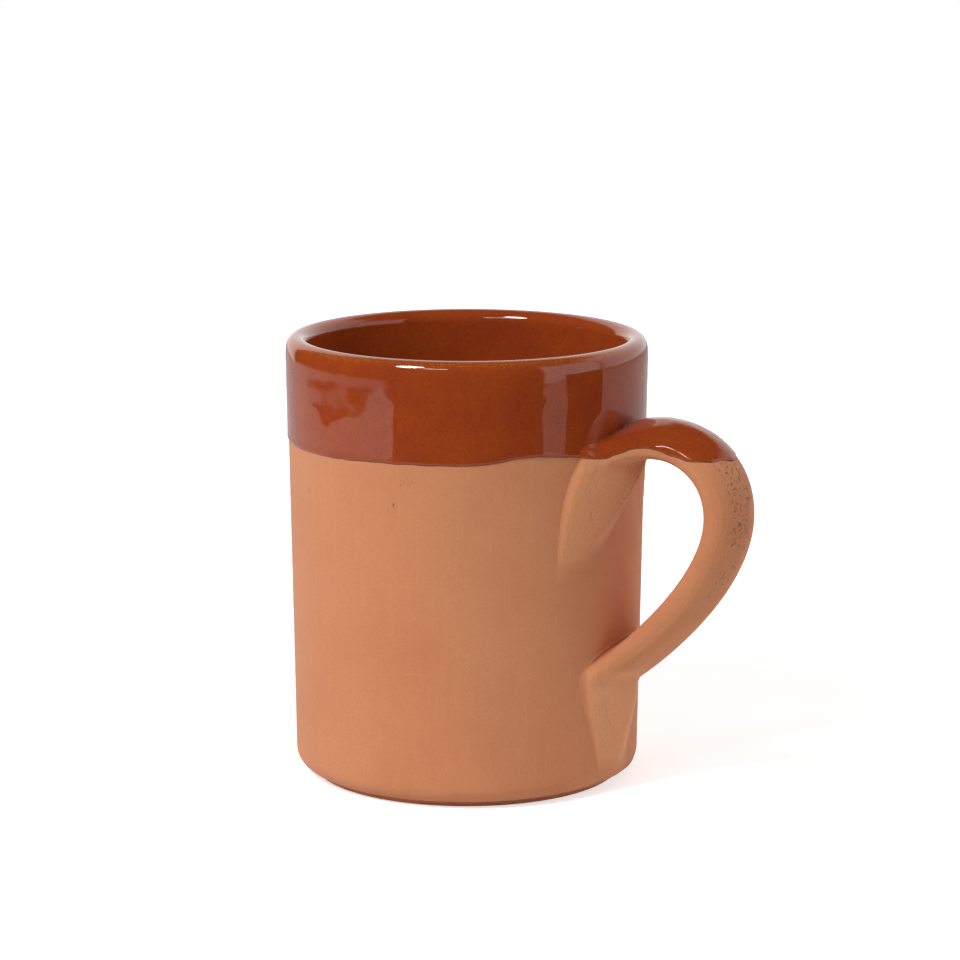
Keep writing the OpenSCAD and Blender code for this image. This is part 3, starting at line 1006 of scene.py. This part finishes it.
UPPER_WIDE, LOWER_WIDE = 22, 18
PATH_SKIP, SHARES = 4, 40
for coat_piece in (band, handle_coat, lining):
    mark_edge(coat_piece)
mark_strokes(cup, *wall_strokes(points_of(cup)))
for piece, marks_of, width in ((upper_joint, upper_marks, UPPER_WIDE),
                               (lower_joint, lower_marks, LOWER_WIDE)):
    points = points_of(piece)
    mark_strokes(piece, marks_of(angle_of(points), points[:, 2])[0] * width, points[:, 2])
points = points_of(handle)
flat = points[:, [0, 2]]
nearest = np.concatenate([((some[:, None, :] - path[None, ::PATH_SKIP]) ** 2).sum(2).argmin(1)
                          for some in np.array_split(flat, SHARES)]) * PATH_SKIP
rise = ((flat - path[nearest]) * np.column_stack([-path_way[nearest, 1], path_way[nearest, 0]])).sum(1)
flare = np.clip(1 - (path[nearest, 0] - wall_r(path[nearest, 1]) + FLARE_SINK) / FLARE_LEN, 0, 1)
mark_strokes(handle, points[:, 1] / (1 + flare * flare), path_length[nearest], rise)
print("handle strokes along", round(float(path_length[nearest].max()), 1), "mm")

# %% [markdown]
# ## Dressing the frame
# Each piece gets its finish, stands for its CAD nodes and rides on the one body.

# %% Finish, replace and ride
dressing = [
    (cup, thrown_clay, "clay", ["cup_body"]),
    (handle, pulled_clay, "clay", ["handle"]),
    (upper_joint, brushed_clay, "clay", ["upper_clay_wad", "upper_slip"]),
    (lower_joint, brushed_clay, "clay", ["lower_clay_wad", "lower_slip"]),
    (lining, glaze_finish, "glaze", ["lining_glaze"]),
    (band, glaze_finish, "glaze", ["band_glaze"]),
    (handle_coat, glaze_finish, "glaze", ["handle_glaze"]),
]
for piece, finish, slot, nodes in dressing:
    piece.data.materials.clear()
    piece.data.materials.append(finish)
    piece.vertex_groups.clear()
    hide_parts(*nodes)
    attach(piece, "root")
print(len(dressing), "pieces dressed")

# %% [markdown]
# ## The camera
# It looks from the photograph's side: 27 degrees round from the front, 12 degrees up,
# with a long lens from 0.8 m. A small shift puts the mug where the photograph has it.

# %% Camera
VIEW_TURN, VIEW_RISE, VIEW_FAR = math.radians(27), math.radians(12.3), 0.8
TARGET = Vector((0, 0, 0.0491))
SENSOR, LENS, SHIFT = 36, 134.8, (0.01375, 0.0743)


def around(turn, rise, distance, centre=TARGET):
    """A place at a turn to the right of the camera's own side and a rise, in degrees."""
    a, e = VIEW_TURN + math.radians(turn), math.radians(rise)
    way = Vector((math.sin(a) * math.cos(e), -math.cos(a) * math.cos(e), math.sin(e)))
    return centre + way * distance


def look_at(thing, centre=TARGET):
    thing.rotation_euler = (centre - thing.location).to_track_quat("-Z", "Y").to_euler()


let_go()
bpy.ops.object.camera_add(location=around(0, math.degrees(VIEW_RISE), VIEW_FAR))
camera = bpy.context.object
look_at(camera)
camera.data.sensor_width, camera.data.lens = SENSOR, LENS
camera.data.shift_x, camera.data.shift_y = SHIFT
bpy.context.scene.camera = camera
print("camera at", [round(c, 3) for c in camera.location])

# %% [markdown]
# ## Studio
# The glaze mirrors the room, so the room is part of the look: a pale table that ends a
# hand's breadth in front of the mug, a large soft light on the left and a small one
# high up. The room in front of the table stays dim, and that keeps the glaze deep.

# %% Table
def matt_and_glow(f, grey, glow):
    """A matt grey surface that also glows."""
    body = f.node("ShaderNodeBsdfDiffuse", None, {"Color": (grey, grey, grey, 1)})
    light = f.node("ShaderNodeEmission", None, {"Strength": glow})
    both = f.node("ShaderNodeAddShader", None, {0: body.outputs[0], 1: light.outputs[0]})
    f.node("ShaderNodeOutputMaterial", None, {0: both.outputs[0]})
    return f.material


TABLE_FRONT, TABLE_BACK, TABLE_LEFT, TABLE_RIGHT = 0.312, 1.6, 0.43, 1.4
let_go()
bpy.ops.mesh.primitive_plane_add(size=1)
table = bpy.context.object
table.name = "table_top"
table.scale = (TABLE_LEFT + TABLE_RIGHT, TABLE_FRONT + TABLE_BACK, 1)
table.rotation_euler = (0, 0, VIEW_TURN)
mug_foot = Vector((0, 0, 0))
table.location = (around(180, 0, (TABLE_BACK - TABLE_FRONT) / 2, mug_foot)
                  + around(90, 0, (TABLE_RIGHT - TABLE_LEFT) / 2, mug_foot))
bpy.ops.object.transform_apply(location=True, rotation=True, scale=True)

TABLE_WHITE, LIFT_NEAR, LIFT_FAR = 0.9, 0.6, 0.9
f = Finish("table_white")
away = f.vector("LENGTH", {0: f.place})
lift = f.ray("Camera") * (LIFT_NEAR + away.step(0.08, 0.4) * (LIFT_FAR - LIFT_NEAR))
table.data.materials.append(matt_and_glow(f, TABLE_WHITE, lift))
print("table from", -TABLE_FRONT, "to", TABLE_BACK, "m")

# %% [markdown]
# Dark cards lie on the table, out of the camera's sight. The glaze mirrors them, and so
# its front and the side by the handle stay deep brown between pale reflections. Only
# the mug sees them dark: to the camera they are as white as the table.

# %% Dark cards
CARD_Z, CARD_BLACK = 0.0002, 0.02
f = Finish("card_black")
card_finish = matt_and_glow(f, CARD_BLACK, f.ray("Camera"))


def dark_card(name, start, end, near, far):
    """A card between two directions from the mug (degrees from the camera's side)."""
    let_go()
    bpy.ops.mesh.primitive_plane_add(size=1)
    card = bpy.context.object
    card.name = name
    for vertex in card.data.vertices:
        turn = start if vertex.co.x < 0 else end
        vertex.co = around(turn, 0, near if vertex.co.y < 0 else far, mug_foot)
        vertex.co.z = CARD_Z
    card.data.materials.append(card_finish)
    print(name, "from", start, "to", end, "degrees")


dark_card("front_card", -45, 47, 0.34, 1.3)
dark_card("right_card", 63, 92, 0.36, 1.3)

# %% [markdown]
# The key light is small and high on the left: it makes the short white glints on the
# lip. A weak strip beside it draws the thin streak along the handle's edge.

# %% Two lights
LIGHT_FAR = 1.1
KEY_POWER, KEY_PLACE, KEY_SIZE = 7.0, (-43, 45), 0.3
STRIP_POWER, STRIP_PLACE, STRIP_SIZE = 0.7, (-22, 38), (0.26, 0.025)


def area_light(name, shape, power, turn, rise):
    """An area light that faces the mug, from a turn and a rise in degrees."""
    let_go()
    bpy.ops.object.light_add(type="AREA", location=around(turn, rise, LIGHT_FAR))
    light = bpy.context.object
    light.name = name
    light.data.shape, light.data.energy = shape, power
    look_at(light)
    print(name, power, "W at", [round(c, 3) for c in light.location])
    return light.data


area_light("key_light", "DISK", KEY_POWER, *KEY_PLACE).size = KEY_SIZE
strip = area_light("strip_light", "RECTANGLE", STRIP_POWER, *STRIP_PLACE)
strip.size, strip.size_y = STRIP_SIZE

# %% [markdown]
# The room is the fill: a pale panel on each side, a white backdrop, dark in front. It
# is drawn by direction, so it needs no mesh. The glaze mirrors the panels lower or
# narrower than the clay is lit by them, as if a screen stood between.

# %% The room
ROOM, ROOM_GLOSS = 0.2, 0.02
LEFT_PANEL, RIGHT_PANEL, BACKDROP = 0.7, 1.3, 1.15
STANDS_FROM = (-0.195, -0.185)
LEFT_EDGE, RIGHT_START, RIGHT_END = (-56, -48), (48, 51), (90, 96)
PANEL_TOP, LEFT_GLOSS_TOP, RIGHT_TOP, RIGHT_MATT = 0.6, -0.16, (0.4, 0.7), 0.25
LEFT_BACK, LEFT_BACK_GLOSS, RIGHT_BACK, BACK_BOOST = 90, 136, (90, 98), 0.75
BACK_TOP, BACK_GLOSS_TOP = 0.42, 0.62
f = Finish("studio", bpy.data.worlds)
bpy.context.scene.world = f.material
way = f.node("ShaderNodeTexCoord").outputs["Generated"]


def part(direction):
    """How much of the ray's direction lies along one direction."""
    return f.vector("DOT_PRODUCT", {0: way, 1: direction})


front_part = part((math.sin(VIEW_TURN), -math.cos(VIEW_TURN), 0))
right_part = part((math.cos(VIEW_TURN), math.sin(VIEW_TURN), 0))
up_part = part((0, 0, 1))
turn = right_part.math("ARCTAN2", right_part, front_part) * (180 / math.pi)
camera_ray, glossy_ray = f.ray("Camera"), f.ray("Glossy")
matt_ray = 1 - glossy_ray
standing = up_part.step(*STANDS_FROM)
left_top = PANEL_TOP + glossy_ray * (LEFT_GLOSS_TOP - PANEL_TOP)
left_tall = 1 - (up_part - left_top).step(0, 0.05)
left_panel = (1 - turn.step(*LEFT_EDGE)) * standing * left_tall * LEFT_PANEL
right_panel = turn.step(*RIGHT_START) * (1 - turn.step(*RIGHT_END))
right_panel = right_panel * standing * (1 - up_part.step(*RIGHT_TOP))
right_panel = right_panel * (RIGHT_PANEL - matt_ray * RIGHT_MATT)
behind_left = (turn * -1 - LEFT_BACK - glossy_ray * (LEFT_BACK_GLOSS - LEFT_BACK)).step(0, 8)
behind_right = turn.step(*RIGHT_BACK)
back_top = BACK_TOP + glossy_ray * (BACK_GLOSS_TOP - BACK_TOP)
back_tall = 1 - (up_part - back_top).step(0, 0.18)
backdrop = (behind_left + behind_right * (1 + matt_ray * BACK_BOOST)) * back_tall * BACKDROP
room = ROOM + glossy_ray * (ROOM_GLOSS - ROOM)
level = room.math("MAXIMUM", room, left_panel)
level = room.math("MAXIMUM", level, right_panel)
level = room.math("MAXIMUM", level, backdrop)
level = level + camera_ray * (1 - level)
background = f.node("ShaderNodeBackground", None, {"Color": (1, 1, 1, 1), "Strength": level})
f.node("ShaderNodeOutputWorld", None, {0: background.outputs[0]})
print("panels", LEFT_PANEL, RIGHT_PANEL, "backdrop", BACKDROP)

# %% [markdown]
# ## The view
# The glaze's colours were chosen for the plain Standard view.

# %% The view
bpy.context.scene.view_settings.view_transform = "Standard"
